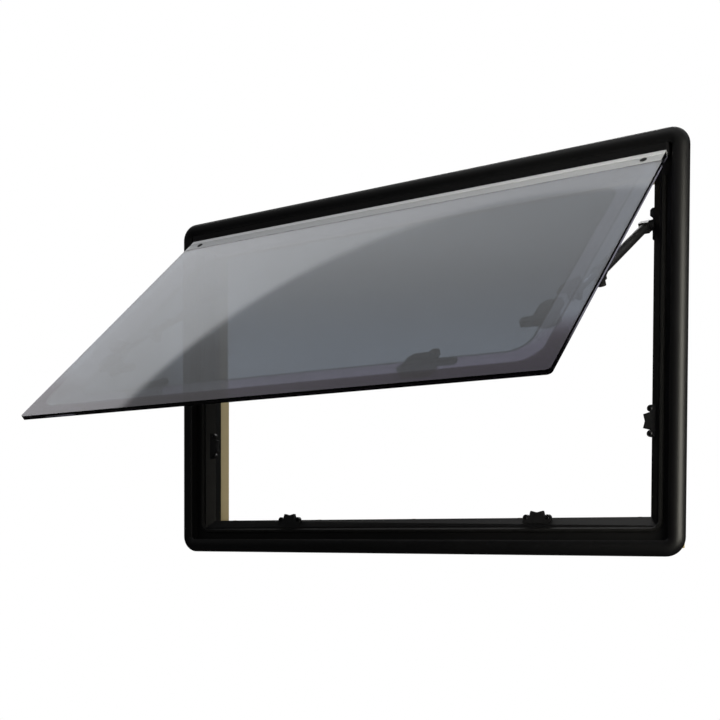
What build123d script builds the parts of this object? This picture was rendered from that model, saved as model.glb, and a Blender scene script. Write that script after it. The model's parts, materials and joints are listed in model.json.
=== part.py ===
from build123d import *
from math import atan2, cos, radians, sin, tan
import os

# A top-hung caravan window, seen from outside along +Y with +X to the right.
# The wall's outer skin lies in the plane Y = 0 and the outside is towards -Y.
# The origin lies on the back of the wall flange, at the middle of the bottom rail.
# Everything is in millimetres, and the sash stands open on its stays.

# Outer frame
frame_width = 940
frame_height = 600
frame_corner = 28
wall_overlap = 20
face_width = 23
face_rise = 13
face_rim = 3
face_inner_rise = 9
wall_gap = 0.5
frame_depth = 33
frame_shell = 4
rebate_depth = 6
rebate_width = 21
splay_width = 13
splay_depth = 13

# Rubber seal in the rebate
seal_width = 8
seal_height = 5.5
seal_foot = 1.8
seal_crown = 3
seal_setback = 2
seal_corner = 15
seal_top_gap = 30

# Inner frame on the room side
inner_margin = 12
inner_taper = 8
inner_depth = 25
inner_skin = 3
inner_corner = 4

# Sash: two acrylic sheets on a hinge rail
hinge_drop = 32.5
hinge_recess = 4
open_angle = 47.7
side_gap = 5
pane_bottom_gap = 10
pane_corner = 6
outer_sheet = 4
inner_sheet = 3
flange_width = 24
tray_rise = 13
tray_slope_side = 33
tray_slope_top = 30
tray_slope_bottom = 45
tray_corner = 30

# Bead hinge
bead_radius = 3.5
bead_play = 0.3
socket_wall = 2.7
neck_width = 2.6
neck_length = 7
rail_web = 2.5
rail_leg = 1
rail_grip = 7
stop_length = 2
socket_opening = 25

# Keepers on the splay of the frame
keeper_length = 46
keeper_front = 11
keeper_back = 17.5
keeper_proud = 10.5
keeper_horn = 20
keeper_notch = 2.5
keeper_root = 26
bottom_keeper_x = 237
side_keeper_height = 194

# Latches on the sash
latch_setback = 7
latch_clear = 5
latch_base_length = 44
latch_base_tail = 13
latch_base_rise = 5
latch_base_bevel = 8
latch_play = 0.3
hub_radius = 15
hub_height = 14
spindle_radius = 4
spindle_height = 10
tongue_width = 10
tongue_thickness = 6
tongue_clear = 5.5
lever_length = 38
lever_width = 15
lever_tip_width = 11
lever_thickness = 8

# Telescopic stays
stay_from_lip = 14
stay_frame_drop = 91.5
stay_frame_depth = 25.6
stay_latch_gap = 46
stay_sash_rise = 31
tube_radius = 6.5
rod_radius = 3.7
rod_play = 0.3
rod_engaged = 36
rod_stub = 9
knuckle_radius = 8
knuckle_width = 14
knuckle_reach = 12
tube_floor = 4
pin_radius = 3
pin_play = 0.1
pin_head = 1.5
eye_radius = 5.5
eye_thickness = 6
eye_length = 14
cheek_gap = 0.6
cheek_thickness = 3
cheek_radius = 8
sash_foot_length = 20
sash_foot_outer = 10
sash_foot_seat = 5
sash_foot_rise = 2.5
bracket_margin = 1
bracket_plate = 2.5
bracket_top = 23
bracket_bottom = 22
bracket_lobe = 6.5
bracket_lobe_bevel = 3
bracket_waist = 9
bracket_boss_radius = 8
clamp_radius = 8
clamp_length = 18
clamp_lug = 10
clamp_lug_height = 11
clamp_knob_radius = 5.5
clamp_knob_height = 6

# Places worked out from the sizes above
half_width = frame_width / 2
frame_low = -wall_overlap / 2
frame_mid = frame_low + frame_height / 2
lip_inset = face_width + rebate_width + splay_width
spigot_inset = wall_overlap + wall_gap
hinge_height = frame_low + frame_height - hinge_drop
half_pane = half_width - face_width - side_gap
sheet_stack = outer_sheet + inner_sheet
pane_face = sheet_stack / 2
pane_top = neck_length + rail_web
hinge_to_edge = hinge_height - frame_low
pane_bottom = hinge_to_edge - face_width - pane_bottom_gap
pane_height = pane_bottom - pane_top
pane_middle = (pane_top + pane_bottom) / 2
tray_face = pane_face - sheet_stack - tray_rise
theta = radians(open_angle)

# Planes: the frame's bottom edge, its section, and the sash about its hinge axis
frame_edge = Plane(origin=(0, 0, frame_low), x_dir=(1, 0, 0), z_dir=(0, -1, 0))
frame_section = Plane(origin=(0, 0, frame_low), x_dir=(0, 0, 1), z_dir=(1, 0, 0))
sash_normal = (0, -cos(theta), sin(theta))
sash = Plane(origin=(0, -hinge_recess, hinge_height), x_dir=(1, 0, 0), z_dir=sash_normal)

os.makedirs("parts", exist_ok=True)


def write(piece, name):
    piece.part.label = name
    export_step(piece.part, f"parts/{name}.step")


def mirrored(piece):
    """The same piece on the other side of the window."""
    with BuildPart() as twin:
        mirror(piece.part, about=Plane.YZ)
    return twin


def write_pair(piece, name):
    write(piece, f"{name}_right")
    write(mirrored(piece), f"{name}_left")


# Outer frame: a rounded face swept round the corners, and a thin moulded spigot that
# carries the rebate, the splay and the inner lip through the wall with mitred corners
splay_angle = atan2(splay_depth, splay_width)
splay_foot = face_width + rebate_width
lip_front = rebate_depth + splay_depth
with BuildPart() as outer_frame:
    with BuildLine(frame_edge) as face_path:
        FilletPolyline(
            (0, 0),
            (half_width, 0),
            (half_width, frame_height),
            (0, frame_height),
            radius=frame_corner,
        )
    with BuildSketch(frame_section) as face_section:
        with BuildLine():
            Polyline((face_width, face_inner_rise), (face_width, 0), (0, 0), (0, face_rim))
            ThreePointArc((0, face_rim), (face_width / 2, face_rise), (face_width, face_inner_rise))
        make_face()
    sweep(path=face_path.wire())
    with BuildLine(frame_edge) as spigot_path:
        Polyline((0, 0), (half_width, 0), (half_width, frame_height), (0, frame_height))
    with BuildSketch(frame_section) as spigot_section:
        with BuildLine():
            Polyline(
                (spigot_inset, 0),
                (face_width, 0),
                (face_width, -rebate_depth),
                (splay_foot, -rebate_depth),
                (lip_inset, -lip_front),
                (lip_inset, -frame_depth),
                (lip_inset - frame_shell, -frame_depth),
                (lip_inset - frame_shell, -lip_front - frame_shell * tan((radians(90) - splay_angle) / 2)),
                (splay_foot - frame_shell * tan(splay_angle / 2), -rebate_depth - frame_shell),
                (spigot_inset + frame_shell, -rebate_depth - frame_shell),
                (spigot_inset + frame_shell, -frame_depth),
                (spigot_inset, -frame_depth),
                close=True,
            )
        make_face()
    sweep(path=spigot_path.wire(), transition=Transition.RIGHT)
    mirror(about=Plane.YZ)
write(outer_frame, "outer_frame")

# Rubber seal: a bead on a flat foot along both sides and the bottom of the rebate
seal_inset = face_width + rebate_width - seal_width / 2 - seal_setback
seal_top = frame_height - hinge_drop - seal_top_gap
with BuildPart() as frame_seal:
    with BuildLine(frame_edge) as seal_path:
        FilletPolyline(
            (0, seal_inset),
            (half_width - seal_inset, seal_inset),
            (half_width - seal_inset, seal_top),
            radius=seal_corner,
        )
    with BuildSketch(frame_section) as seal_section:
        with BuildLine():
            Polyline(
                (seal_inset - seal_width / 2, -rebate_depth),
                (seal_inset + seal_width / 2, -rebate_depth),
                (seal_inset + seal_width / 2, -rebate_depth + seal_foot),
                (seal_inset + seal_crown / 2, -rebate_depth + seal_height),
                (seal_inset - seal_crown / 2, -rebate_depth + seal_height),
                (seal_inset - seal_width / 2, -rebate_depth + seal_foot),
                close=True,
            )
        make_face()
    sweep(path=seal_path.wire())
    mirror(about=Plane.YZ)
write(frame_seal, "frame_seal")


# Inner frame: four mitred channels on the room side, open towards the wall, with sloping outer walls
room_face = frame_depth + inner_depth
slope_share = (inner_depth - inner_skin) / inner_depth


def inner_member(length, centre, run, inward, name):
    start = Plane(origin=centre - run * length / 2, x_dir=inward, z_dir=run)
    with BuildPart() as member:
        with BuildSketch(start):
            with BuildLine():
                FilletPolyline(
                    (inner_margin, -frame_depth),
                    (inner_margin + inner_taper, -room_face),
                    (lip_inset, -room_face),
                    (lip_inset, -frame_depth),
                    radius=inner_corner,
                )
                Polyline(
                    (lip_inset, -frame_depth),
                    (lip_inset - inner_skin, -frame_depth),
                    (lip_inset - inner_skin, inner_skin - room_face),
                    (inner_margin + inner_taper * slope_share + inner_skin, inner_skin - room_face),
                    (inner_margin + inner_skin, -frame_depth),
                    (inner_margin, -frame_depth),
                )
            make_face()
        extrude(amount=length)
        for end in (-1, 1):
            corner = centre + run * end * length / 2
            split(bisect_by=Plane(origin=corner, z_dir=run * end + inward), keep=Keep.BOTTOM)
    write(member, name)


across, upwards = Vector(1, 0, 0), Vector(0, 0, 1)
inner_member(frame_width, Vector(0, 0, frame_low), across, upwards, "inner_frame_bottom")
inner_member(frame_width, Vector(0, 0, frame_low + frame_height), -across, -upwards, "inner_frame_top")
inner_member(frame_height, Vector(half_width, 0, frame_mid), upwards, -across, "inner_frame_right")
inner_member(frame_height, Vector(-half_width, 0, frame_mid), -upwards, across, "inner_frame_left")

# Hinge channel: a socket under the frame's top face, open where the neck of the bead swings
socket_bore = bead_radius + bead_play
socket_radius = socket_bore + socket_wall
channel_length = frame_width - 2 * (frame_corner + stop_length)
channel_top = hinge_drop - face_width
opening_low = radians(-socket_opening)
opening_high = theta + radians(socket_opening)
opening_reach = 2 * socket_radius


def hinge_side(start):
    """The plane of the hinge's cross-section at the given place along the hinge axis."""
    return Plane(origin=(start, -hinge_recess, hinge_height), x_dir=(0, -1, 0), z_dir=(1, 0, 0))


def socket_outline():
    """The solid outline of the socket, up to the frame's face and back to the rebate."""
    with BuildSketch() as outline:
        Circle(socket_radius)
        with BuildLine():
            Polyline(
                (socket_radius, 0),
                (socket_radius, -channel_top),
                (-hinge_recess - rebate_depth, -channel_top),
                (-hinge_recess - rebate_depth, 0),
                close=True,
            )
        make_face()
    return outline.sketch


with BuildPart() as hinge_channel:
    with BuildSketch(hinge_side(-channel_length / 2)):
        add(socket_outline())
        Circle(socket_bore, mode=Mode.SUBTRACT)
        with BuildLine():
            Polyline(
                (0, 0),
                (opening_reach * sin(opening_low), opening_reach * cos(opening_low)),
                (opening_reach * sin(theta / 2), 2 * opening_reach),
                (opening_reach * sin(opening_high), opening_reach * cos(opening_high)),
                close=True,
            )
        make_face(mode=Mode.SUBTRACT)
    extrude(amount=channel_length)
write(hinge_channel, "hinge_channel")

# End stops that close the socket
with BuildPart() as hinge_stop:
    with BuildSketch(hinge_side(channel_length / 2)):
        add(socket_outline())
    extrude(amount=stop_length)
write_pair(hinge_stop, "hinge_stop")

# Hinge rail: a grip over the top edge of both sheets, with the bead on its neck
rail_length = channel_length - 2 * bead_play
rail_side = Plane(origin=sash.origin - Vector(rail_length / 2, 0, 0), x_dir=sash.z_dir, z_dir=(1, 0, 0))
rail_half = pane_face + rail_leg
with BuildPart() as hinge_rail:
    with BuildSketch(rail_side):
        Circle(bead_radius)
        with Locations((0, pane_top / 2)):
            Rectangle(neck_width, pane_top)
        with Locations((0, neck_length + (rail_web + rail_grip) / 2)):
            Rectangle(2 * rail_half, rail_web + rail_grip)
        with Locations((0, pane_top + rail_grip / 2)):
            Rectangle(sheet_stack, rail_grip, mode=Mode.SUBTRACT)
    extrude(amount=rail_length)
write(hinge_rail, "hinge_rail")

# Outer pane: a flat sheet with small round corners
with BuildPart() as outer_pane:
    with BuildSketch(sash.offset(pane_face - outer_sheet)):
        with Locations((0, -pane_middle)):
            RectangleRounded(2 * half_pane, pane_height, pane_corner)
    extrude(amount=outer_sheet)
write(outer_pane, "outer_pane")

# Inner pane: a flange against the outer sheet and a moulded tray with sloping walls
foot_size = (2 * (half_pane - flange_width), pane_height - 2 * flange_width)
floor_size = (foot_size[0] - 2 * tray_slope_side, foot_size[1] - tray_slope_top - tray_slope_bottom)
floor_middle = pane_middle + (tray_slope_top - tray_slope_bottom) / 2


def tray_body(start):
    """The tray's form from its foot at the given height of the sash plane to its floor."""
    with BuildPart() as body:
        with BuildSketch(sash.offset(start)):
            with Locations((0, -pane_middle)):
                RectangleRounded(*foot_size, tray_corner)
        with BuildSketch(sash.offset(start - tray_rise)):
            with Locations((0, -floor_middle)):
                RectangleRounded(*floor_size, tray_corner)
        loft()
    return body


tray_outside = tray_body(pane_face - sheet_stack)
tray_inside = tray_body(pane_face - outer_sheet)
with BuildPart() as inner_pane:
    with BuildSketch(sash.offset(pane_face - sheet_stack)):
        with Locations((0, -pane_middle)):
            RectangleRounded(2 * half_pane, pane_height, pane_corner)
    extrude(amount=inner_sheet)
    add(tray_outside.part)
    add(tray_inside.part, mode=Mode.SUBTRACT)
write(inner_pane, "inner_pane")

# Keepers: a crown with two horns between two lobes, standing on the splay and reaching past the lip
keeper_top = lip_inset + keeper_proud
keeper_foot = splay_foot + (keeper_front - rebate_depth) * splay_width / splay_depth
keeper_heel = splay_foot + (keeper_back - rebate_depth) * splay_width / splay_depth
lobe_top = lip_inset + (keeper_length - keeper_root) / 4
lobe_middle = (keeper_length + keeper_root) / 4


def keeper(origin, run):
    """A keeper seen from outside, with its length along run and its horns inwards."""
    face = Plane(origin=origin, x_dir=run, z_dir=(0, -1, 0))
    side = Plane(origin=origin - Vector(*run) * keeper_length / 2, x_dir=(0, 1, 0), z_dir=run)
    with BuildPart() as crown:
        with BuildSketch(face.offset(-keeper_front)):
            with BuildLine():
                Polyline(
                    (0, keeper_top - keeper_notch),
                    (0, keeper_foot),
                    (keeper_length / 2, keeper_foot),
                    (keeper_length / 2, lip_inset),
                )
                ThreePointArc(
                    (keeper_length / 2, lip_inset),
                    (lobe_middle, lobe_top),
                    (keeper_root / 2, lip_inset),
                )
                Polyline(
                    (keeper_root / 2, lip_inset),
                    (keeper_horn / 2, keeper_top),
                    (0, keeper_top - keeper_notch),
                )
            make_face()
            mirror(about=Plane.YZ)
        extrude(amount=keeper_front - keeper_back)
        with BuildSketch(side):
            with BuildLine():
                Polyline(
                    (keeper_front, keeper_foot),
                    (keeper_back, keeper_foot),
                    (keeper_back, keeper_heel),
                    close=True,
                )
            make_face()
        extrude(amount=keeper_length, mode=Mode.SUBTRACT)
    return crown


write_pair(keeper(Vector(bottom_keeper_x, 0, frame_low), (1, 0, 0)), "keeper_bottom")
write_pair(keeper(Vector(half_width, 0, frame_low + side_keeper_height), (0, 0, 1)), "keeper_side")

# What is fixed to the tray stands on its edge, partly on the floor and partly on the slope
def on_sash(sideways, down):
    """A point of the sash plane, from its distance sideways and below the hinge axis."""
    return sash.from_local_coords(Vector(sideways, -down, 0))


def tray_block(top, outer, inner, edge, slope, rise, length):
    """A block under the given plane, from outer to inner, with its underside shaped to the tray's edge."""
    side = Plane(origin=top.origin + top.y_dir * length / 2, x_dir=top.x_dir, z_dir=-top.y_dir)
    drop = tray_rise * (edge - outer) / slope
    with BuildPart() as block:
        with BuildSketch(side):
            with BuildLine():
                Polyline(
                    (outer, 0),
                    (inner, 0),
                    (inner, -rise),
                    (edge, -rise),
                    (outer, -rise - drop),
                    close=True,
                )
            make_face()
        extrude(amount=length)
    return block


# Latches: a base shaped to the tray, and a lever whose hub turns on the base's spindle.
# The tongue lies along the edge when the latch is open, and turns towards it to lock.
latch_seat = tray_face - latch_base_rise


def latch(origin, inward, inset, slope, name):
    """The base and lever of a right-hand latch, with its spindle at a distance from the frame's edge."""
    seat = Plane(origin=origin + sash.z_dir * latch_seat, x_dir=inward, z_dir=-sash.z_dir)
    base_reach = inset - keeper_top - latch_clear
    tongue_reach = inset - lip_inset - tongue_clear
    with BuildPart() as base:
        body = tray_block(
            seat, -base_reach, latch_base_tail, -latch_setback, slope, latch_base_rise, latch_base_length
        )
        add(body.part)
        chamfer(base.edges().filter_by(Axis(seat.origin, seat.z_dir)), length=latch_base_bevel)
        with BuildSketch(seat):
            Circle(spindle_radius)
        extrude(amount=spindle_height)
    write_pair(base, f"latch_base_{name}")
    under = seat.offset(latch_play)
    with BuildPart() as lever:
        with BuildSketch(under):
            Circle(hub_radius)
        extrude(amount=hub_height)
        with BuildSketch(under.offset(hub_height - lever_thickness)):
            with BuildLine():
                Polyline(
                    (0, lever_width / 2),
                    (lever_length, lever_tip_width / 2),
                    (lever_length, -lever_tip_width / 2),
                    (0, -lever_width / 2),
                    close=True,
                )
            make_face()
        extrude(amount=lever_thickness)
        with BuildSketch(under.offset(latch_play)):
            with Locations((0, tongue_reach / 2)):
                Rectangle(tongue_width, tongue_reach)
        extrude(amount=tongue_thickness)
        with BuildSketch(under):
            Circle(spindle_radius + pin_play)
        extrude(amount=spindle_height, mode=Mode.SUBTRACT)
    write_pair(lever, f"latch_lever_{name}")


bottom_edge = face_width + pane_bottom_gap + flange_width + tray_slope_bottom
side_edge = face_width + side_gap + flange_width + tray_slope_side
bottom_inset = bottom_edge + latch_setback
side_inset = side_edge + latch_setback
bottom_place = on_sash(bottom_keeper_x, hinge_to_edge - bottom_inset)
side_place = on_sash(half_width - side_inset, hinge_to_edge - side_keeper_height)
latch(bottom_place, sash.y_dir, bottom_inset, tray_slope_bottom, "bottom")
latch(side_place, -across, side_inset, tray_slope_side, "side")

# Telescopic stays: a tube that turns on the frame's bracket, and a rod that slides in it
stay_x = half_width - lip_inset - stay_from_lip
stay_sash_distance = hinge_to_edge - side_keeper_height - stay_latch_gap
tube_length = stay_sash_distance - stay_frame_drop - eye_length - rod_stub
frame_pivot = Vector(stay_x, stay_frame_depth, hinge_height - stay_frame_drop)
sash_pivot = on_sash(stay_x, stay_sash_distance) + sash.z_dir * (pane_face - stay_sash_rise)
stay_run = sash_pivot - frame_pivot
stay_length = stay_run.length
stay = Plane(origin=frame_pivot, x_dir=(1, 0, 0), z_dir=stay_run.normalized())
pivot_side = Plane(origin=frame_pivot, x_dir=(0, 1, 0), z_dir=(1, 0, 0))
bracket_face = half_width - lip_inset
knuckle_side = stay_x + knuckle_width / 2
pin_end = stay_x - knuckle_width / 2

# Frame bracket: a plate on the lip with a lobe at its top, a boss and the pin that the tube turns on
bracket_width = frame_depth - lip_front - 2 * bracket_margin
bracket_front = Plane(
    origin=(bracket_face, lip_front + bracket_margin, frame_pivot.Z), x_dir=(-1, 0, 0), z_dir=(0, 1, 0)
)
with BuildPart() as stay_bracket:
    with BuildSketch(bracket_front):
        with BuildLine():
            Polyline(
                (0, bracket_top),
                (bracket_lobe - bracket_lobe_bevel, bracket_top),
                (bracket_lobe, bracket_top - bracket_lobe_bevel),
                (bracket_lobe, bracket_waist + bracket_lobe_bevel),
                (bracket_plate, bracket_waist),
                (bracket_plate, -bracket_bottom),
                (0, -bracket_bottom),
                close=True,
            )
        make_face()
    extrude(amount=bracket_width)
    with BuildSketch(pivot_side.offset(knuckle_side + pin_play - stay_x)):
        Circle(bracket_boss_radius)
    extrude(amount=bracket_face - knuckle_side - pin_play)
    with BuildSketch(pivot_side.offset(pin_end - pin_play - pin_head - stay_x)):
        Circle(pin_radius)
    extrude(amount=knuckle_width + 2 * pin_play + pin_head)
write_pair(stay_bracket, "stay_bracket")

# Stay tube: a knuckle round the pin, and a bored tube that stands on the knuckle's flat end
tube_bore = rod_radius + rod_play
knuckle_plane = Plane(
    origin=frame_pivot - Vector(knuckle_width / 2, 0, 0), x_dir=stay.z_dir, z_dir=(1, 0, 0)
)
with BuildPart() as stay_tube:
    with BuildSketch(knuckle_plane):
        Circle(knuckle_radius)
        with Locations((knuckle_reach / 2, 0)):
            Rectangle(knuckle_reach, 2 * knuckle_radius)
        Circle(pin_radius + pin_play, mode=Mode.SUBTRACT)
    extrude(amount=knuckle_width)
    with BuildSketch(stay.offset(knuckle_reach)):
        Circle(tube_radius)
    extrude(amount=tube_length - knuckle_reach)
    with BuildSketch(stay.offset(knuckle_reach + tube_floor)):
        Circle(tube_bore)
    extrude(amount=tube_length, mode=Mode.SUBTRACT)
write_pair(stay_tube, "stay_tube")

# Stay clamp: a collar at the mouth of the tube, with a lug and the thumb knob that holds the rod
clamp_back = Plane(
    origin=frame_pivot + stay.z_dir * (tube_length - clamp_length), x_dir=(1, 0, 0), z_dir=stay.z_dir
)
clamp_lug_top = Plane(
    origin=clamp_back.origin + stay.z_dir * clamp_length / 2 - stay.y_dir * clamp_lug_height,
    x_dir=(1, 0, 0),
    z_dir=-stay.y_dir,
)
with BuildPart() as stay_clamp:
    with BuildSketch(clamp_back):
        Circle(clamp_radius)
        with Locations((0, -clamp_lug_height / 2)):
            Rectangle(clamp_lug, clamp_lug_height)
        Circle(tube_radius, mode=Mode.SUBTRACT)
    extrude(amount=clamp_length)
    with BuildSketch(clamp_lug_top):
        Circle(clamp_knob_radius)
    extrude(amount=clamp_knob_height)
write_pair(stay_clamp, "stay_clamp")

# Stay rod: a round rod with a flat eye between the cheeks of the sash bracket
eye_side = Plane(
    origin=sash_pivot - Vector(eye_thickness / 2, 0, 0), x_dir=stay_run.normalized(), z_dir=(1, 0, 0)
)
eye_root = eye_length + rod_radius
with BuildPart() as stay_rod:
    with BuildSketch(stay.offset(tube_length - rod_engaged)):
        Circle(rod_radius)
    extrude(amount=stay_length - eye_length - tube_length + rod_engaged)
    with BuildSketch(eye_side):
        Circle(eye_radius)
        with Locations((-eye_root / 2, 0)):
            Rectangle(eye_root, 2 * eye_radius)
    extrude(amount=eye_thickness)
write_pair(stay_rod, "stay_rod")

# Sash bracket: a foot shaped to the tray and two cheeks that hold the eye of the rod
foot_top = Plane(
    origin=on_sash(stay_x, stay_sash_distance) + sash.z_dir * (tray_face - sash_foot_rise),
    x_dir=-across,
    z_dir=-sash.z_dir,
)
foot_edge = side_edge - lip_inset - stay_from_lip
foot_inner = foot_edge + sash_foot_seat
cheek_height = stay_sash_rise - sheet_stack - tray_rise - sash_foot_rise
with BuildPart() as sash_bracket:
    foot = tray_block(
        foot_top, -sash_foot_outer, foot_inner, foot_edge, tray_slope_side, sash_foot_rise, sash_foot_length
    )
    add(foot.part)
    for side in (-1, 1):
        cheek_start = side * (eye_thickness / 2 + cheek_gap) + (side - 1) / 2 * cheek_thickness
        cheek_side = Plane(
            origin=sash_pivot + Vector(cheek_start, 0, 0), x_dir=sash.z_dir, z_dir=(1, 0, 0)
        )
        with BuildSketch(cheek_side):
            Circle(cheek_radius)
            with Locations((cheek_height / 2, 0)):
                Rectangle(cheek_height, 2 * cheek_radius)
        extrude(amount=cheek_thickness)
write_pair(sash_bracket, "sash_bracket")
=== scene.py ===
# %% [markdown]
# # A caravan window, open on its stays
# This lesson dresses a caravan window: a black moulded frame, a smoked acrylic sash on a bead hinge, two
# telescopic stays and four turning latches. The solid pieces arrive at their real size and place, in
# metres, with the outside of the caravan towards -Y. What is left to do here is what the eye sees: the
# finish of each piece, its small screws, the light and the camera.

# %% Load the window
import json
import math

import bmesh
import bpy
from mathutils import Matrix, Vector

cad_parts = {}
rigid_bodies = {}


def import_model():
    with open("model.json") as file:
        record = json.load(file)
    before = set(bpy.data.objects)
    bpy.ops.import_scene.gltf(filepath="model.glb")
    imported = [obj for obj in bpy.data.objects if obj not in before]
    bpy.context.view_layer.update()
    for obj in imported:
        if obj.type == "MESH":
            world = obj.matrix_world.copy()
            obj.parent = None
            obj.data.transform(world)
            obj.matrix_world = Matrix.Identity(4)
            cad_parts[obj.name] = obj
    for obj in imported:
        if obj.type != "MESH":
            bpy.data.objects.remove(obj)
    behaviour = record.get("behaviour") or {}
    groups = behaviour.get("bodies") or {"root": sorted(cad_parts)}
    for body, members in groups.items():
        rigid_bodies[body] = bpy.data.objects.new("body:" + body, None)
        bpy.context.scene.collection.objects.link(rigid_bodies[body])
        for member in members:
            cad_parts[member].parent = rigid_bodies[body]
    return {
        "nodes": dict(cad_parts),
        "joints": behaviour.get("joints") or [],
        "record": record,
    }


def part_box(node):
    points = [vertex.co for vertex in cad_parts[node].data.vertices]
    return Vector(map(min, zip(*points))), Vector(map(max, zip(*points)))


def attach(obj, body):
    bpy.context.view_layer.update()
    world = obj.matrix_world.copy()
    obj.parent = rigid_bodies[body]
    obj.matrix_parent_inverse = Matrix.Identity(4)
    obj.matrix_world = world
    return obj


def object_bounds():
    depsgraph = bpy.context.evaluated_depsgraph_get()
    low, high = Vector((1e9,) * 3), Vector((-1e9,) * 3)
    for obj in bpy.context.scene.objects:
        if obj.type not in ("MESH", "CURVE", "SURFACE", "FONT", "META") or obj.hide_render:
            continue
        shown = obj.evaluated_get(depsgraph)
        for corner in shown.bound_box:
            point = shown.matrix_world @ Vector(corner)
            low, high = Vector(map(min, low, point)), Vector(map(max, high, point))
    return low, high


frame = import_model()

solid_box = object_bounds()
pieces = frame["nodes"]
print("box:", [tuple(round(side, 3) for side in corner) for corner in solid_box])

# %% [markdown]
# ## The camera
# The picture was taken from below and to the right, with a lens that keeps upright lines nearly upright.
# A camera can be tilted up to take in a tall thing, and then its upright lines lean. A shift lens keeps
# the camera level and slides the picture instead, and that is what the straight jambs ask for.

# %% Place the camera
picture_size, sensor_width = 720, 36
focal_pixels = 1098.3
axis_pixel = (370.5, 570.0)
camera_turn = math.radians(33.323)
camera_tilt = math.radians(-1.503)
camera_roll = math.radians(0.232)
camera_place = Vector((0.9454, -1.5253, 0.0102))

lens = bpy.data.cameras.new("window_camera")
lens.sensor_width = sensor_width
lens.sensor_fit = "HORIZONTAL"
lens.lens = focal_pixels / picture_size * lens.sensor_width
lens.shift_x = 0.5 - axis_pixel[0] / picture_size
lens.shift_y = axis_pixel[1] / picture_size - 0.5
camera = bpy.data.objects.new("window_camera", lens)
level_turn = Matrix.Rotation(camera_turn, 4, "Z") @ Matrix.Rotation(math.radians(90), 4, "X")
tilt_and_roll = Matrix.Rotation(camera_tilt, 4, "X") @ Matrix.Rotation(camera_roll, 4, "Z")
camera.matrix_world = Matrix.Translation(camera_place) @ level_turn @ tilt_and_roll
bpy.context.scene.collection.objects.link(camera)
bpy.context.scene.camera = camera
print("lens", round(lens.lens, 2), "shift", round(lens.shift_x, 3), round(lens.shift_y, 3))

# %% [markdown]
# ## Writing finishes as sums
# A finish is a tree of nodes, and most of those nodes only add or multiply. They could be laid out by
# hand, one call a node, but then the sum they stand for is hard to see. Here a Wire holds one socket, and
# Python's own signs between wires add the Math nodes, so a mask can be written as 1 - dust.

# %% A wire that can be added and multiplied
class Wire:
    """A value inside a node tree."""

    def __init__(self, tree, socket):
        self.tree = tree
        self.socket = socket

    def maths(self, operation, *operands):
        return self.tree.node("ShaderNodeMath", {"operation": operation}, *operands)

    def __add__(self, other):
        return self.maths("ADD", self, other)

    def __sub__(self, other):
        return self.maths("SUBTRACT", self, other)

    def __rsub__(self, other):
        return self.maths("SUBTRACT", other, self)

    def __mul__(self, other):
        return self.maths("MULTIPLY", self, other)

    def __abs__(self):
        return self.maths("ABSOLUTE", self)

    __radd__ = __add__
    __rmul__ = __mul__


print("a wire can be added, subtracted, multiplied and stripped of its sign")


# %% A tree that makes its nodes
class Tree:
    """The nodes of a material or of the world."""

    def __init__(self, owner):
        owner.use_nodes = True
        self.nodes = owner.node_tree.nodes
        self.links = owner.node_tree.links

    def feed(self, socket, value):
        if isinstance(value, Wire):
            self.links.new(value.socket, socket)
        else:
            socket.default_value = value

    def node(self, kind, settings=None, *values, output=0, **named_values):
        node = self.nodes.new(kind)
        for name, setting in (settings or {}).items():
            setattr(node, name, setting)
        for socket, value in [*enumerate(values), *named_values.items()]:
            self.feed(node.inputs[socket], value)
        return Wire(self, node.outputs[output])

    def dot(self, vector, direction):
        """How far a vector reaches along a direction."""
        return self.node("ShaderNodeVectorMath", {"operation": "DOT_PRODUCT"}, vector, direction, output=1)

    def length(self, vector):
        return self.node("ShaderNodeVectorMath", {"operation": "LENGTH"}, vector, output=1)

    def mix(self, share, first, second):
        """A colour between two colours."""
        wire = self.node("ShaderNodeMix", {"data_type": "RGBA"}, share, output=2)
        first_colour, second_colour = 6, 7
        for socket, colour in ((first_colour, first), (second_colour, second)):
            value = colour if isinstance(colour, Wire) else (*colour, 1)
            self.feed(wire.socket.node.inputs[socket], value)
        return wire

    def step(self, value, low, high):
        """0 below low, 1 above high, and smooth between."""
        smooth = {"interpolation_type": "SMOOTHSTEP"}
        return self.node("ShaderNodeMapRange", smooth, value, low, high, 0, 1)


print("a tree can mix colours, measure vectors and make smooth steps")


# %% A finish with its place and its grain
class Finish(Tree):
    """A material made of one principled shader and what varies over it."""

    def __init__(self, name, **constants):
        self.material = bpy.data.materials.new(name)
        super().__init__(self.material)
        self.shader = self.nodes["Principled BSDF"]
        self.place = self.node("ShaderNodeTexCoord", output="Object")
        self.facing = self.node("ShaderNodeTexCoord", output="Normal")
        self.set(**constants)

    def set(self, **sockets):
        for name, value in sockets.items():
            self.feed(self.shader.inputs[name.replace("_", " ")], value)

    def cloud(self, size, detail=2, stretch=(1, 1, 1)):
        """Soft random patches, about size metres across and longer where stretch is over 1."""
        scale = tuple(1 / (size * side) for side in stretch)
        where = self.node("ShaderNodeVectorMath", {"operation": "MULTIPLY"}, self.place, scale)
        return self.node("ShaderNodeTexNoise", None, where, Scale=1, Detail=detail)

    def along(self, direction):
        """How far the surface faces a direction, from -1 to 1."""
        return self.dot(self.facing, direction)

    def measure(self, direction, start):
        """How far a place lies from a start, along a direction."""
        offset = self.node("ShaderNodeVectorMath", {"operation": "SUBTRACT"}, self.place, start)
        return self.dot(offset, direction)

    def emboss(self, height, depth):
        """Turns a height of 0 to 1 into relief of that depth in metres."""
        self.set(Normal=self.node("ShaderNodeBump", None, Strength=1, Distance=depth, Height=height))


finishes = {}
print("a finish can hold clouds, masks and relief")

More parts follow.
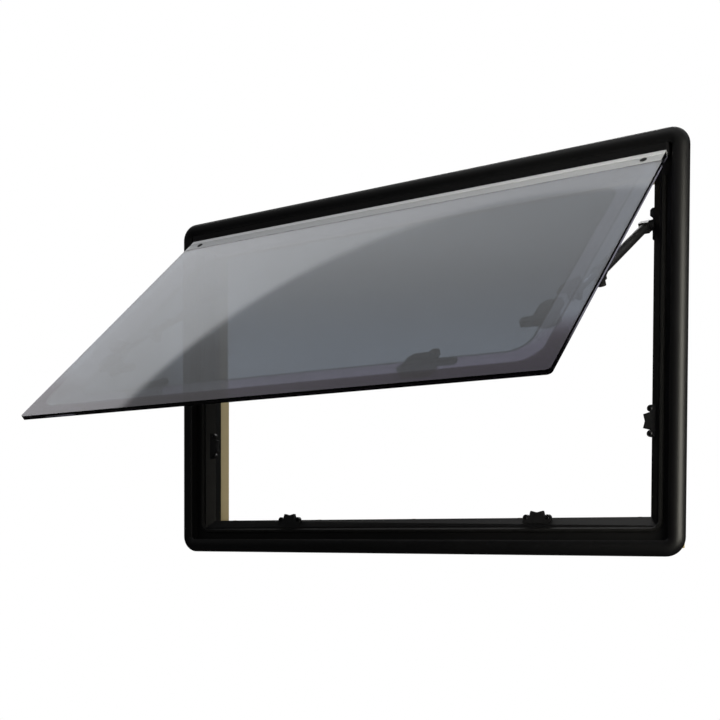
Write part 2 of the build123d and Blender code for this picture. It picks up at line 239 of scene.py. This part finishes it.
# %% [markdown]
# ## Black moulded frame
# The outer frame is moulded in one piece and comes out of the tool with a fine leathery grain. A picture
# of the grain could be wrapped round it, but noise in three dimensions needs no unwrapping and can't
# stretch. The grain is a fraction of a millimetre deep. Handling dulls the gloss in patches, and what
# faces up collects dust.

# %% Frame finish
handled_size, grain_size, grain_depth, dust_size = 0.09, 0.0016, 0.00006, 0.04
upwards, dust_starts, dust_full = (0, 0, 1), 0.6, 1.0
new_black, handled_black = (0.0008, 0.0008, 0.0011), (0.0022, 0.0022, 0.0026)
dust_grey = (0.03, 0.028, 0.024)

frame_black = Finish("frame_black", Specular_IOR_Level=0.3)
handled = frame_black.cloud(handled_size, detail=4)
grain = frame_black.cloud(grain_size, detail=3)
level = frame_black.step(frame_black.along(upwards), dust_starts, dust_full)
dust = level * frame_black.cloud(dust_size, detail=6)
moulding = frame_black.mix(handled, new_black, handled_black)
frame_black.set(
    Base_Color=frame_black.mix(0.5 * dust, moulding, dust_grey),
    Roughness=0.42 + 0.1 * handled + 0.05 * grain + 0.2 * dust,
)
frame_black.emboss(grain, grain_depth)
finishes["frame_black"] = frame_black
print("frame finish has", len(frame_black.nodes), "nodes")

# %% [markdown]
# ## Black fittings
# Brackets, keepers, latches and stays are moulded from filled nylon, which is flatter and a little paler
# than the frame. They could share the frame's finish, but beside it they would lose their dry, speckled
# look, so the same noise is used with other sizes.

# %% Fitting finish
speckle_size, speckle_depth, rubbed_size = 0.0009, 0.00005, 0.02
nylon_black, rubbed_black = (0.0022, 0.0022, 0.0026), (0.006, 0.006, 0.0066)

fitting_black = Finish("fitting_black", Specular_IOR_Level=0.3)
speckle = fitting_black.cloud(speckle_size, detail=2)
rubbed = fitting_black.cloud(rubbed_size, detail=3)
fitting_black.set(
    Base_Color=fitting_black.mix(rubbed, nylon_black, rubbed_black),
    Roughness=0.42 + 0.16 * rubbed,
)
fitting_black.emboss(speckle, speckle_depth)
finishes["fitting_black"] = fitting_black
finishes["stay_black"] = fitting_black
print("fittings share one finish")

# %% [markdown]
# ## Rubber seal
# The seal is soft black rubber with a bloom that turns it slightly grey where dust has stuck. Flat black
# would make it a hole beside the frame. A low specular level keeps it dull, and a cloud gives the bloom.

# %% Seal finish
bloom_size, rubber_grain, rubber_depth = 0.03, 0.002, 0.00005
clean_rubber, bloomed_rubber = (0.0015, 0.0015, 0.0015), (0.005, 0.005, 0.005)

seal_rubber = Finish("seal_rubber", Specular_IOR_Level=0.15)
bloom = seal_rubber.cloud(bloom_size, detail=5)
seal_rubber.set(
    Base_Color=seal_rubber.mix(bloom, clean_rubber, bloomed_rubber),
    Roughness=0.62 + 0.2 * bloom,
)
seal_rubber.emboss(seal_rubber.cloud(rubber_grain), rubber_depth)
finishes["seal_rubber"] = seal_rubber
print("seal finish made")

# %% [markdown]
# ## Cream inner frame
# On the room side the window has a cream moulded surround. One flat colour would look like card, because
# the sun has yellowed the real one unevenly. A wide cloud mixes two creams, and fine noise gives the
# moulded skin.

# %% Inner frame finish
yellowed_size, cream_grain, cream_depth = 0.15, 0.0014, 0.00005
fresh_cream, sunned_cream = (0.37, 0.305, 0.172), (0.315, 0.256, 0.132)

inner_cream = Finish("inner_cream", Specular_IOR_Level=0.4)
yellowed = inner_cream.cloud(yellowed_size, detail=4)
inner_cream.set(
    Base_Color=inner_cream.mix(yellowed, fresh_cream, sunned_cream),
    Roughness=0.45 + 0.12 * yellowed,
)
inner_cream.emboss(inner_cream.cloud(cream_grain, detail=3), cream_depth)
finishes["inner_cream"] = inner_cream
print("inner frame finish made")

# %% [markdown]
# ## Silver hinge rail and steel rods
# The hinge rail is drawn aluminium under a satin lacquer, so its fine lines run along its length and it
# scatters more light than it mirrors. An anisotropic shader could give the stretched gloss, but noise
# stretched along X gives the lines themselves. The rods of the stays are dark plated steel, dulled in
# patches where the clamps have rubbed.

# %% Metal finishes
line_width, line_stretch, line_depth = 0.0007, (300, 1, 1), 0.00002
dull_size = 0.012


def lacquered(name, dark, light):
    """Drawn aluminium under lacquer, with fine lines along X between two tones."""
    finish = Finish(name, Metallic=0.2)
    drawn = finish.cloud(line_width, detail=2, stretch=line_stretch)
    finish.set(Base_Color=finish.mix(drawn, dark, light), Roughness=0.36 + 0.16 * drawn)
    finish.emboss(drawn, line_depth)
    finishes[name] = finish


lacquered("hinge_silver", dark=(0.6, 0.61, 0.63), light=(0.7, 0.71, 0.73))
lacquered("flange_grey", dark=(0.43, 0.44, 0.455), light=(0.49, 0.5, 0.515))

rod_steel = Finish("rod_steel", Metallic=1.0)
worn = rod_steel.cloud(dull_size, detail=4)
plated, rubbed_plate = (0.16, 0.16, 0.17), (0.3, 0.3, 0.31)
rod_steel.set(Base_Color=rod_steel.mix(worn, plated, rubbed_plate), Roughness=0.28 + 0.18 * worn)
finishes["rod_steel"] = rod_steel
print("metal finishes made")

# %% [markdown]
# ## Smoked acrylic
# The sash is two acrylic sheets, tinted through and through. A see-through material can be faked with
# alpha, but then it has no depth. A transmitting shader with the real refractive index bends the view at
# each face and mirrors the sky more the flatter one looks at it, which is most of what the picture shows.
# A cut edge is seen along the sheet, through much more acrylic, so faces that look sideways get a deeper
# tint of their own. At the foot of the sash, where the two sheets are welded together, that strip is
# tinted a darker purple.

# %% Where the sash is
joints = {joint["name"]: joint for joint in frame["joints"]}
swing = joints["sash_swing"]
hinge = Vector(swing["pos_m"])
sash_angle = math.radians(-swing["range_deg"][0])
outward = Vector((0, -math.cos(sash_angle), math.sin(sash_angle)))
room = -outward
down = Vector((0, -math.sin(sash_angle), -math.cos(sash_angle)))
sideways = Vector((1, 0, 0))


def on_sash(across, below, deep):
    """A point from its distances across, below and behind the hinge axis, square to the sash."""
    return hinge + sideways * across + down * below + room * deep


def sash_span(node):
    """The lowest and highest of those distances over a piece of the sash."""
    places = [corner.co - hinge for corner in pieces[node].data.vertices]
    rows = [[axis.dot(place) for place in places] for axis in (sideways, down, room)]
    return [min(row) for row in rows], [max(row) for row in rows]


pane_low, pane_high = sash_span("outer_pane")
print("the pane reaches", round(pane_high[1], 3), "m below the hinge")
print("it faces", tuple(round(side, 3) for side in outward))

# %% How far from the rim
weld_width = 0.024
slope_widths = {"side": 0.033, "top": 0.03, "bottom": 0.045}
tray_corner = 0.03


def beyond(finish, side, top, bottom):
    """How far a place lies outside a rounded rectangle that is set in from the pane's edges."""
    half_width = pane_high[0] - side - tray_corner
    low, high = pane_low[1] + top + tray_corner, pane_high[1] - bottom - tray_corner
    across = abs(finish.measure(sideways, hinge)) - half_width
    below = abs(finish.measure(down, hinge) - (low + high) / 2) - (high - low) / 2
    past_side, past_end = (reach.maths("MAXIMUM", reach, 0) for reach in (across, below))
    outside = finish.length(finish.node("ShaderNodeCombineXYZ", None, past_side, past_end, 0))
    inside = across.maths("MINIMUM", across.maths("MAXIMUM", across, below), 0)
    return outside + inside - tray_corner


print("the tray's floor starts", weld_width + slope_widths["side"], "m from the sides")

# %% Flat sheet finish
refractive_index, edge_on, face_on, wiped_size = 1.49, 0.3, 0.6, 0.12
clear_tint, wiped_tint, edge_tint = (0.345, 0.375, 0.415), (0.315, 0.345, 0.385), (0.3, 0.28, 0.34)
purple_weld = (0.2, 0.175, 0.235)
low_strip = (0.06, 0.13)
strip_edge = (-0.001, 0.002)


def acrylic(name, haze):
    """A tinted sheet, its tint, a mask that is 0 at its cut edge, and one that is 1 at its foot."""
    finish = Finish(name, IOR=refractive_index, Transmission_Weight=1.0)
    on_face = finish.step(abs(finish.along(outward)), edge_on, face_on)
    wiped = finish.cloud(wiped_size, detail=5)
    tint = finish.mix(wiped, clear_tint, wiped_tint)
    finish.set(Roughness=haze + 0.02 * wiped)
    low = 1 - finish.step(pane_high[1] - finish.measure(down, hinge), *low_strip)
    return finish, tint, on_face, low


flat_sheet, tint, on_face, low = acrylic("smoked_acrylic", haze=0.01)
weld = beyond(flat_sheet, weld_width, weld_width, weld_width)
tint = flat_sheet.mix(flat_sheet.step(weld, *strip_edge) * low, tint, purple_weld)
flat_sheet.set(Base_Color=flat_sheet.mix(on_face, edge_tint, tint))
finishes["smoked_acrylic"] = flat_sheet
print("the flat sheet is welded over", weld_width, "m along its rim")

# %% [markdown]
# ## Moulded sheet
# The inner sheet is drawn into a shallow tray. Each bend is curved, and the view through it and its mirror
# image turn towards darker places, so each bend shows as a dark line round the sash. The bevels on the
# solid are too narrow for that, so the lines are painted shade drawn at the bends instead: a rounded
# rectangle's distance formula gives how far each place is from a bend, and a narrow band is darkened.
# Along the sides and top the welded rim is lightened as a painted reflection, and at the foot it is tinted
# a darker purple.
# Light that has run along inside the acrylic leaves it beyond the bend. A renderer hardly finds those
# paths, so a faint, streaky emission stands for them.

# %% Bends of the moulded sheet
slope_tint, weld_painted_reflection, dark_weld = (0.3, 0.26, 0.355), (0.48, 0.5, 0.54), (0.06, 0.05, 0.075)
bend_shade_colour, crease_fade, seam_fade = (0.03, 0.03, 0.04), (0.0012, 0.0032), (0.0008, 0.002)

tray_sheet, tint, on_face, low = acrylic("moulded_acrylic", haze=0.02)
weld = beyond(tray_sheet, weld_width, weld_width, weld_width)
slope = beyond(tray_sheet, *(weld_width + slope_widths[edge] for edge in ("side", "top", "bottom")))
on_slope = tray_sheet.step(slope, *strip_edge)
on_weld = tray_sheet.step(weld, *strip_edge)
tint = tray_sheet.mix(on_slope * (0.2 + 0.8 * low), tint, slope_tint)
# Painted reflection: the welded rim along the sides and top is lightened, as if it mirrored light.
tint = tray_sheet.mix(on_weld * (0.5 - 0.5 * low), tint, weld_painted_reflection)
tint = tray_sheet.mix(on_weld * low, tint, dark_weld)
# Painted shade: dark bands at the two bends, where the curved acrylic would show darker places.
crease = 1 - tray_sheet.step(abs(slope), *crease_fade)
seam = 1 - tray_sheet.step(abs(weld), *seam_fade)
painted_bend_shade = 0.85 * crease + 0.6 * seam * (1 - crease)
tint = tray_sheet.mix(painted_bend_shade, tint, bend_shade_colour)
print("the moulded sheet has two bends,", weld_width, "m and", weld_width + slope_widths["side"], "m in")

# %% Light that leaves at the bends
streak_size, streak_stretch = 0.004, (1, 60, 60)
rim_fade = (weld_width - 0.005, weld_width - 0.003)
dark, piped_light = (0, 0, 0), (0.072, 0.072, 0.08)

streak = tray_sheet.cloud(streak_size, detail=2, stretch=streak_stretch)
off_rim = 1 - tray_sheet.step(weld, *rim_fade)
piped = off_rim * on_slope * (1 - low) * (1 - painted_bend_shade) * (0.5 + streak)
tray_sheet.set(
    Base_Color=tray_sheet.mix(on_face, edge_tint, tint),
    Emission_Color=tray_sheet.mix(piped, dark, piped_light),
    Emission_Strength=1.0,
)
finishes["inner_pane"] = tray_sheet
print("moulded sheet finish has", len(tray_sheet.nodes), "nodes")

# %% [markdown]
# ## Giving each piece its finish
# On the real window each piece comes from its own tool in its own material. The finishes could be set
# piece by piece, but the record of the window already names one for each, so they are handed out from it.
# Only the moulded sheet, which is of the same acrylic as the flat one, has a finish under its own name.

# %% Hand out the finishes
for piece in frame["record"]["subparts"]:
    skin = pieces[piece["node"]].data.materials
    skin.clear()
    finish = finishes.get(piece["node"], finishes[piece["material_slot"]])
    skin.append(finish.material)

# %% [markdown]
# ## Soft edges
# Solids come with perfectly sharp edges, and moulded or sawn ones never are. The edges could be rounded
# in the solids, but a narrow bevel as a modifier catches the light as well and leaves the solids as they
# are. The moulded sheet is drawn in by a hair, so that it and the flat sheet don't share a face where
# they are welded.

# %% Round the edges a little
edge_widths = {"frame_black": 0.0006, "fitting_black": 0.0005, "stay_black": 0.0005, "inner_cream": 0.0006}
sheet_edge, sheet_angle, moulded_angle = 0.0012, 12, 40
sheet_segments, moulded_segments = 3, 2
same_place, sheet_clearance = 0.00001, 0.00005
for piece in frame["record"]["subparts"]:
    is_sheet = piece["material_slot"] == "smoked_acrylic"
    width = sheet_edge if is_sheet else edge_widths.get(piece["material_slot"])
    if width:
        solid = pieces[piece["node"]]
        joined = solid.modifiers.new("weld", "WELD")
        joined.merge_threshold = same_place
        bevel = solid.modifiers.new("soft_edge", "BEVEL")
        bevel.width = width
        bevel.segments = sheet_segments if is_sheet else moulded_segments
        bevel.limit_method = "ANGLE"
        bevel.angle_limit = math.radians(sheet_angle if is_sheet else moulded_angle)
sheet_gap = pieces["inner_pane"].modifiers.new("sheet_gap", "DISPLACE")
sheet_gap.mid_level = 0
sheet_gap.strength = -sheet_clearance
print("bevelled finishes:", ", ".join(edge_widths))

# %% [markdown]
# ## Flange of the hinge rail
# A thin flange of the hinge rail lies on the outer sheet, along its top edge, with a rolled lower edge. A
# thin box would do from afar. Here its outline is drawn once, in the sash's own directions, and swept
# along the rail, so that the rolled edge catches the light as a real one does.

# %% Outline of the flange
flange_width, flange_thick, flange_lap, roll_steps = 0.0195, 0.0004, 0.001, 8
rail_low, rail_high = sash_span("hinge_rail")
flange_top, flange_foot = rail_high[1] - flange_lap, rail_high[1] + flange_width
outline = [(flange_top, pane_low[2]), (flange_top, pane_low[2] - flange_thick)]
roll = flange_thick / 2
for number in range(roll_steps + 1):
    turn = math.pi * (number / roll_steps - 0.5)
    outline.append((flange_foot + roll * math.cos(turn), pane_low[2] - roll + roll * math.sin(turn)))
print("flange from", round(flange_top, 4), "to", round(flange_foot, 4), "m below the hinge")

# %% Sweep of the flange
shape = bmesh.new()
ends = [
    [shape.verts.new(on_sash(across, below, deep)) for below, deep in outline]
    for across in (rail_low[0], rail_high[0])
]
for here in range(len(outline)):
    there = (here + 1) % len(outline)
    shape.faces.new((ends[0][here], ends[0][there], ends[1][there], ends[1][here]))
shape.faces.new(ends[0])
shape.faces.new(reversed(ends[1]))
bmesh.ops.recalc_face_normals(shape, faces=shape.faces)
flange_mesh = bpy.data.meshes.new("rail_flange")
shape.to_mesh(flange_mesh)
shape.free()
flange_mesh.materials.append(finishes["flange_grey"].material)
rail_flange = bpy.data.objects.new("rail_flange", flange_mesh)
bpy.context.scene.collection.objects.link(rail_flange)
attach(rail_flange, "sash")
print("flange swept over", round(rail_high[0] - rail_low[0], 3), "m")

# %% [markdown]
# ## Screws, rivets and caps
# Each fitting is held by small screws. A head could be cut from a cylinder with booleans, but a disc of
# rings whose height follows a formula is lighter, and the same code makes screws, rivets, caps and plugs.

# %% Round heads
def round_head(name, radius, height, turns=48, rings=12):
    """A round head that stands on local z = 0, with its top at height(x, y)."""
    shape = bmesh.new()
    angles = [2 * math.pi * turn / turns for turn in range(turns)]
    corners = [(radius * math.cos(angle), radius * math.sin(angle)) for angle in angles]
    loops = [[shape.verts.new((x, y, 0)) for x, y in corners]]
    for ring in range(rings, 0, -1):
        share = ring / rings
        circle = [(x * share, y * share) for x, y in corners]
        loops.append([shape.verts.new((x, y, height(x, y))) for x, y in circle])
    for outer, inner in zip(loops, loops[1:]):
        for here in range(turns):
            there = (here + 1) % turns
            shape.faces.new((outer[here], outer[there], inner[there], inner[here]))
    shape.faces.new(loops[-1])
    shape.faces.new(reversed(loops[0]))
    mesh = bpy.data.meshes.new(name)
    shape.to_mesh(mesh)
    shape.free()
    return mesh


def dome(radius, edge, crown):
    """The height of a dome that rises from edge to crown."""
    return lambda x, y: crown - (crown - edge) * (x * x + y * y) / radius**2


print("a head is a disc of rings")

# %% Caps and cross heads
arm_width_share, arm_length_share = 0.16, 0.62


def cap(name, radius, edge, crown):
    """A plain domed head."""
    return round_head(name, radius, dome(radius, edge, crown))


def screw(name, radius, edge, crown, depth):
    """A domed head with a cross cut into it."""
    top = dome(radius, edge, crown)
    arm_width, arm_length = arm_width_share * radius, arm_length_share * radius

    def height(x, y):
        small, large = sorted((abs(x), abs(y)))
        in_cross = small < arm_width and large < arm_length
        return top(x, y) - (depth if in_cross else 0)

    return round_head(name, radius, height)


print("a cross is", arm_width_share, "of a head's radius wide at each side")

# %% Steel of the screws
tarnish_size = 0.002
dark_steel, tarnished_steel = (0.018, 0.018, 0.02), (0.04, 0.04, 0.043)

screw_steel = Finish("screw_steel", Metallic=1.0)
tarnish = screw_steel.cloud(tarnish_size, detail=3)
screw_steel.set(
    Base_Color=screw_steel.mix(tarnish, dark_steel, tarnished_steel),
    Roughness=0.34 + 0.2 * tarnish,
)
finishes["screw_steel"] = screw_steel
print("screw finish made")

# %% Where a head goes
roll_between_heads = 0.7


def place_head(name, mesh, place, axis, body, finish):
    """Stands a head on a place, with its top along the axis and each one rolled a little further."""
    head = bpy.data.objects.new(name, mesh)
    turn = Vector(axis).to_track_quat("Z", "Y").to_matrix().to_4x4()
    roll = Matrix.Rotation(len(bpy.data.objects) * roll_between_heads, 4, "Z")
    head.matrix_world = Matrix.Translation(place) @ turn @ roll
    bpy.context.scene.collection.objects.link(head)
    if not mesh.materials:
        mesh.materials.append(finishes[finish].material)
    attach(head, body)


def place_steel(name, mesh, place, axis, body):
    place_head(name, mesh, place, axis, body, "screw_steel")


print("each head is rolled by", roll_between_heads, "more than the last")

# %% [markdown]
# ## Keeper and bracket screws
# Each keeper is held by a screw in each lobe, and each stay bracket by one in its plate and one in its
# lobe. The pin that the stay turns on ends in a rivet head. Their places could be copied from the
# drawing, but read from each solid's own box they stay on it when its size changes.

# %% Screws on the frame
keeper_screw = screw("keeper_screw", radius=0.003, edge=0.0003, crown=0.0012, depth=0.0008)
bracket_screw = screw("bracket_screw", radius=0.0035, edge=0.0003, crown=0.0014, depth=0.0009)
rivet = cap("rivet", radius=0.0048, edge=0.0006, crown=0.0016)
lobe_from_end, lobe_from_foot = 0.005, 0.008
plate_screw_up, plate_thick = 0.0068, 0.0025
lobe_screw_down, lobe_thick = 0.0062, 0.0065
rivet_sunk = 0.0012
to_outside = (0, -1, 0)
for side, sign in (("left", -1), ("right", 1)):
    low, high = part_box(f"keeper_bottom_{side}")
    for across in (low.x + lobe_from_end, high.x - lobe_from_end):
        spot = (across, low.y, low.z + lobe_from_foot)
        place_steel(f"keeper_bottom_{side}_screw", keeper_screw, spot, to_outside, "frame")
    low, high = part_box(f"keeper_side_{side}")
    foot = high.x if sign > 0 else low.x
    for upright in (low.z + lobe_from_end, high.z - lobe_from_end):
        spot = (foot - sign * lobe_from_foot, low.y, upright)
        place_steel(f"keeper_side_{side}_screw", keeper_screw, spot, to_outside, "frame")
    low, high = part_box(f"stay_bracket_{side}")
    plate = high.x if sign > 0 else low.x
    pin_end = low.x if sign > 0 else high.x
    middle = (low.y + high.y) / 2
    to_middle = (-sign, 0, 0)
    for upright, thick in ((low.z + plate_screw_up, plate_thick), (high.z - lobe_screw_down, lobe_thick)):
        spot = (plate - sign * thick, middle, upright)
        place_steel(f"stay_bracket_{side}_screw", bracket_screw, spot, to_middle, "frame")
    pivot = Vector(joints[f"stay_turn_{side}"]["pos_m"])
    spot = (pin_end + sign * rivet_sunk, pivot.y, pivot.z)
    place_steel(f"stay_bracket_{side}_rivet", rivet, spot, to_middle, "frame")
print("frame screws placed")

# %% [markdown]
# ## Sash screws, hub caps and vent plugs
# Latch bases and sash brackets are screwed through the inner sheet. Each latch's spindle is closed by a
# domed cap, which turns with its lever. Near its top corners the sash has a small plug, which lets the
# space between the sheets dry out. All of them are placed in the sash's own directions, because it hangs
# at an angle.

# %% Screws, caps and plugs on the sash
base_screw = screw("base_screw", radius=0.0026, edge=0.0003, crown=0.0011, depth=0.0007)
hub_cap = cap("hub_cap", radius=0.0115, edge=0.0004, crown=0.0018)
pivot_rivet = cap("pivot_rivet", radius=0.004, edge=0.0006, crown=0.0018)
vent_plug = cap("vent_plug", radius=0.005, edge=0.0007, crown=0.0016)
spindle_height, base_screw_reach = 0.01, 0.0185
cheek_radius, cheek_face = 0.008, 0.0066
foot_top, foot_screw_in, foot_screw_apart = 0.019, 0.0132, 0.0055
plug_across, plug_below = 0.412, 0.0255
for side, sign in (("left", -1), ("right", 1)):
    for where, along in (("bottom", sideways), ("side", down)):
        latch = f"latch_{where}_{side}"
        spindle = Vector(joints[f"latch_turn_{where}_{side}"]["pos_m"])
        seat = max(sash_span(f"latch_base_{where}_{side}")[1][2] - spindle_height, 0)
        for end in (-1, 1):
            spot = spindle + along * end * base_screw_reach + room * seat
            place_steel(f"latch_base_{where}_{side}_screw", base_screw, spot, room, "sash")
        spot = spindle + room * sash_span(f"latch_lever_{where}_{side}")[1][2]
        place_head(f"{latch}_cap", hub_cap, spot, room, latch, "fitting_black")
    low, high = sash_span(f"sash_bracket_{side}")
    middle = (low[1] + high[1]) / 2
    pivot_across = joints[f"stay_turn_{side}"]["pos_m"][0]
    for end in (-1, 1):
        spot = on_sash(pivot_across - sign * foot_screw_in, middle + end * foot_screw_apart, foot_top)
        place_steel(f"sash_bracket_{side}_screw", base_screw, spot, room, "sash")
        spot = on_sash(pivot_across + end * cheek_face, middle, high[2] - cheek_radius)
        place_steel(f"sash_bracket_{side}_rivet", pivot_rivet, spot, (end, 0, 0), "sash")
    spot = on_sash(sign * plug_across, plug_below, pane_low[2] - flange_thick)
    place_head(f"vent_plug_{side}", vent_plug, spot, outward, "sash", "fitting_black")
print("sash screws placed")

# %% [markdown]
# ## Screw caps on the room side
# The inner frame is screwed to the outer one from inside the opening, and a cream cap hides each screw.
# An array modifier could repeat one cap, but a loop gives each its own place and its own turn.

# %% Caps along the inner frame
cream_cap = cap("cream_cap", radius=0.0055, edge=0.0003, crown=0.001)
cap_counts = {"top": 5, "bottom": 5, "left": 1, "right": 1}
cap_from_room, end_margin = 0.014, 0.07
for where, count in cap_counts.items():
    low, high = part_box(f"inner_frame_{where}")
    middle = (low + high) / 2
    inner_edge = {"top": low.z, "bottom": high.z, "left": high.x, "right": low.x}[where]
    inwards = {"top": (0, 0, -1), "bottom": (0, 0, 1), "left": (1, 0, 0), "right": (-1, 0, 0)}[where]
    reach = high.x - low.x - 2 * end_margin
    deep = high.y - cap_from_room
    for number in range(count):
        offset = reach * (number / (count - 1) - 0.5) if count > 1 else 0
        spot = (inner_edge, deep, middle.z) if count == 1 else (middle.x + offset, deep, inner_edge)
        place_head(f"inner_cap_{where}", cream_cap, spot, inwards, "frame", "inner_cream")

# %% [markdown]
# ## Light
# A studio lights a black, glossy thing by what it mirrors. Cards and lamps could stand round the window,
# but the world can hold the same levels by direction. It is bright behind the window and high up on the
# far left, where a shade overhead ends, and dim in front. So the black frame stays black, and the pane
# mirrors the soft edge of the shade. The camera itself sees plain white.

# %% What a ray is for
world = bpy.data.worlds.new("studio")
bpy.context.scene.world = world
sky = Tree(world)
direction = sky.node("ShaderNodeTexCoord", output="Generated")
ray = "ShaderNodeLightPath"
mirrored = sky.node(ray, output="Is Glossy Ray")
seen_through = sky.node(ray, output="Is Transmission Ray")
seen = sky.node(ray, output="Is Camera Ray")
half_way = (0.4, 0.6)
sharp = sky.step(mirrored + seen_through, *half_way)
upward = sky.dot(direction, (0, 0, 1))
backward = sky.dot(direction, (0, 1, 0))
leftward = sky.dot(direction, (-1, 0, 0))
print("the world tells mirrored, seen-through and plain rays apart")

# %% Patch of sky over the window
bright_sky, shade, shade_rise = 1.27, 0.36, 0.44
canopy_way, canopy_edge = (-0.349, -0.195, 0.917), (0.8312, 0.8352)
shade_edge, patch_foot, patch_front, patch_end = (0.23, 0.35), (0.35, 0.6), (0.07, 0.165), (0.43, 0.55)

canopy = sky.step(sky.dot(direction, canopy_way), *canopy_edge)
shade_level = shade + shade_rise * sky.step(backward, *shade_edge)
patch = sky.step(backward, *patch_front) * (1 - sky.step(backward, *patch_end))
patch = sky.step(upward, *patch_foot) * patch
sky_level = patch * (bright_sky - canopy * (bright_sky - shade_level))
print("the pane mirrors a sky of", bright_sky, "beside a shade of", shade)

# %% Behind and in front of the window
white_back, back_fall, left_fall = 0.92, 0.75, 0.8
dim_front, front_rise, front_fall = 0.03, 0.1, 0.7
back_top, left_end, front_foot, front_end = (0.155, 0.245), (0.64, 0.70), (0.1, 0.35), (-0.3, 0.2)
soft_level, white = 0.55, (1, 1, 1, 1)

back_level = white_back - back_fall * sky.step(upward, *back_top)
back_level = back_level * (1 - left_fall * sky.step(leftward, *left_end))
front_level = dim_front + front_rise * sky.step(upward, *front_foot)
front_level = front_level * (1 - front_fall * sky.step(backward, *front_end))
low_level = front_level + seen_through * (back_level - front_level)
unseen_level = soft_level + sharp * (low_level + sky_level - soft_level)
strength = unseen_level + seen * (1 - unseen_level)
sky.feed(sky.nodes["Background"].inputs["Color"], white)
sky.feed(sky.nodes["Background"].inputs["Strength"], strength)
print("world has", len(sky.nodes), "nodes")

# %% [markdown]
# ## Lamps
# The world alone would leave the jambs flat. A warm lamp beside the window lights the right jamb, held to
# a narrow spread so that it stays off the left one. A wide lamp overhead and one on the room side lift
# the rest. Point lamps would do it too, with hard glints, so flat softboxes are used, and they don't show
# through the panes.

# %% Three softboxes
def softbox(name, place, target, size, power, colour, spread=180):
    """A flat lamp that faces a point, with its light held within a spread in degrees."""
    lamp = bpy.data.lights.new(name, "AREA")
    lamp.shape = "RECTANGLE"
    lamp.size, lamp.size_y = size
    lamp.energy = power
    lamp.color = colour
    lamp.spread = math.radians(spread)
    holder = bpy.data.objects.new(name, lamp)
    holder.location = place
    holder.rotation_euler = (Vector(target) - Vector(place)).to_track_quat("-Z", "Y").to_euler()
    holder.visible_transmission = False
    bpy.context.scene.collection.objects.link(holder)


window_middle = (solid_box[0] + solid_box[1]) / 2
right_jamb = (0.47, 0, 0.24)
warm, neutral = (1.0, 0.965, 0.84), (1, 1, 1)
softbox("warm_side", (0.95, -0.36, 0.24), right_jamb, size=(0.5, 0.66), power=2.1, colour=warm, spread=48)
softbox("overhead", (-0.2, -0.8, 2.6), window_middle, size=(2.0, 1.2), power=9, colour=neutral)
softbox("room_side", (-0.3, 1.5, 1.7), window_middle, size=(1.2, 0.8), power=30, colour=neutral)
print("lamps made:", len(bpy.data.lights))

# %% [markdown]
# ## Floor
# The window hangs in its wall, well above a pale floor. A curved backdrop could hide the horizon, but the
# world is already white there, so one flat sheet is enough. It glows where the camera or the pane looks
# straight at it, and is dark to the glossy black pieces, which would mirror it as a grey veil.

# %% Sheet of floor
floor_drop, floor_reach = 0.9, 30
floor_mesh = bpy.data.meshes.new("floor")
sketch = bmesh.new()
bmesh.ops.create_grid(sketch, x_segments=1, y_segments=1, size=floor_reach)
sketch.to_mesh(floor_mesh)
sketch.free()
floor = bpy.data.objects.new("floor", floor_mesh)
floor.location.z = solid_box[0].z - floor_drop
bpy.context.scene.collection.objects.link(floor)
print("floor at", round(floor.location.z, 2))

# %% Paint of the floor
paint_patch, lighter_paint, darker_paint = 0.6, (0.9, 0.9, 0.9), (0.86, 0.86, 0.86)
mirrored_paint, near_glow, far_glow = (0.02, 0.02, 0.02), 0.75, 0.25
glow_distance = (1.5, 3.0)

floor_paint = Finish("floor_paint", Roughness=0.9)
pale = floor_paint.mix(floor_paint.cloud(paint_patch), darker_paint, lighter_paint)
looks = [floor_paint.node(ray, output=f"Is {kind} Ray") for kind in ("Camera", "Transmission")]
seen = floor_paint.step(looks[0] + looks[1], *half_way)
in_gloss = floor_paint.node(ray, output="Is Glossy Ray") * (1 - seen)
floor_paint.set(Base_Color=floor_paint.mix(in_gloss, pale, mirrored_paint))
glow = floor_paint.node("ShaderNodeEmission", None, white, 1.0)
far = floor_paint.step(floor_paint.length(floor_paint.place), *glow_distance)
mixed = floor_paint.node("ShaderNodeMixShader", None, seen * (near_glow + far_glow * far))
floor_paint.links.new(floor_paint.shader.outputs[0], mixed.socket.node.inputs[1])
floor_paint.links.new(glow.socket, mixed.socket.node.inputs[2])
floor_paint.links.new(mixed.socket, floor_paint.nodes["Material Output"].inputs["Surface"])
floor_mesh.materials.append(floor_paint.material)
print("floor paint has", len(floor_paint.nodes), "nodes")

# %% [markdown]
# ## Last lines
# The dressing mustn't make the window bigger than its solids. A plain view transform shows the colours
# about as they are written.

# %% Set the view transform
bpy.context.scene.view_settings.view_transform = "Standard"
